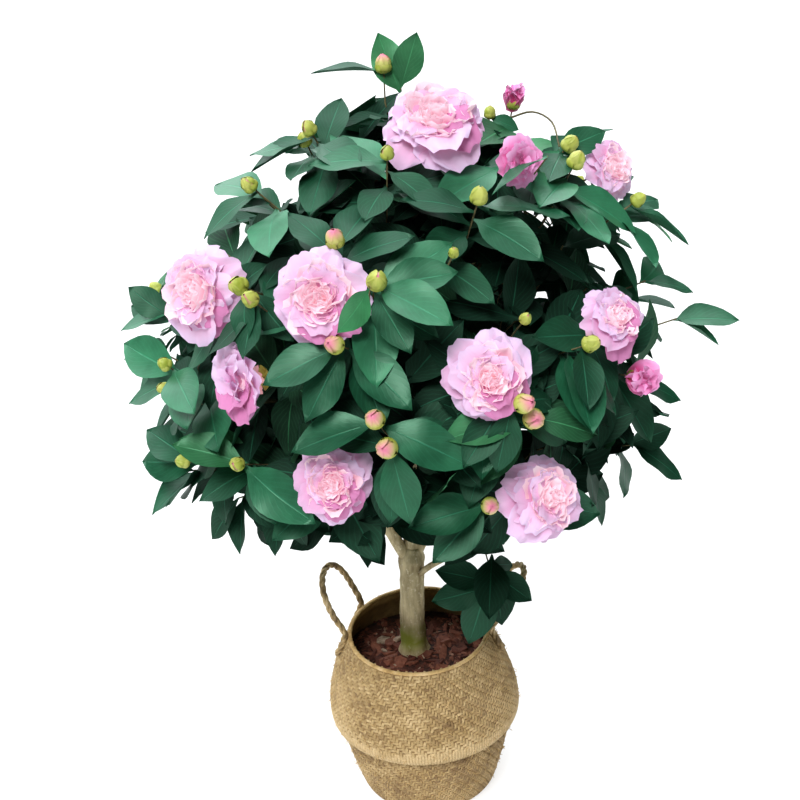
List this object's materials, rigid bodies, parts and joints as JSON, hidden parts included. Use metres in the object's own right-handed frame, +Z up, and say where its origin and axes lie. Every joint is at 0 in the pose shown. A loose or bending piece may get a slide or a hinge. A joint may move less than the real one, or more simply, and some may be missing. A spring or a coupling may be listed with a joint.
{
  "type": "potted camellia shrub",
  "caption": "Camellia shrub in flower on a short clean trunk, with a round leafy crown, buds and ruffled blooms, in a round belly basket with rope handles.",
  "frame": {"origin": "centre of the basket's flat underside, at floor level", "axes": "+Z up the trunk; -Y towards the front of the plant, the side with most blooms; +X to the right seen from the front"},
  "size_m": [0.737, 0.6641, 1.027],
  "materials": {
    "foliage": "satin",
    "bark": "matte",
    "bark_mulch": "matte",
    "seagrass": "matte",
    "rope": "matte"
  },
  "bodies": {
    "root": {"basket": "seagrass", "bough_back": "bark", "bough_far_back": "bark", "bough_front": "bark", "bough_front_left": "bark", "bough_front_right": "bark", "bough_left": "bark", "bough_low_back_left": "bark", "bough_low_back_right": "bark", "bough_low_front": "bark", "bough_low_left": "bark", "bough_right": "bark", "bough_top": "bark", "bough_upper_back": "bark", "bough_upper_front": "bark", "bough_upper_left": "bark", "bough_upper_right": "bark", "handle_left": "rope", "handle_right": "rope", "leader": "bark", "leaves_back": "foliage", "leaves_far_back": "foliage", "leaves_front": "foliage", "leaves_front_left": "foliage", "leaves_front_right": "foliage", "leaves_hanging": "foliage", "leaves_left": "foliage", "leaves_low_back_left": "foliage", "leaves_low_back_right": "foliage", "leaves_low_front": "foliage", "leaves_low_left": "foliage", "leaves_right": "foliage", "leaves_top": "foliage", "leaves_upper_back": "foliage", "leaves_upper_front": "foliage", "leaves_upper_left": "foliage", "leaves_upper_right": "foliage", "low_twig": "bark", "main_back": "bark", "main_front": "bark", "main_left": "bark", "main_right": "bark", "soil": "bark_mulch", "trunk": "bark"}
  },
  "joints": []
}
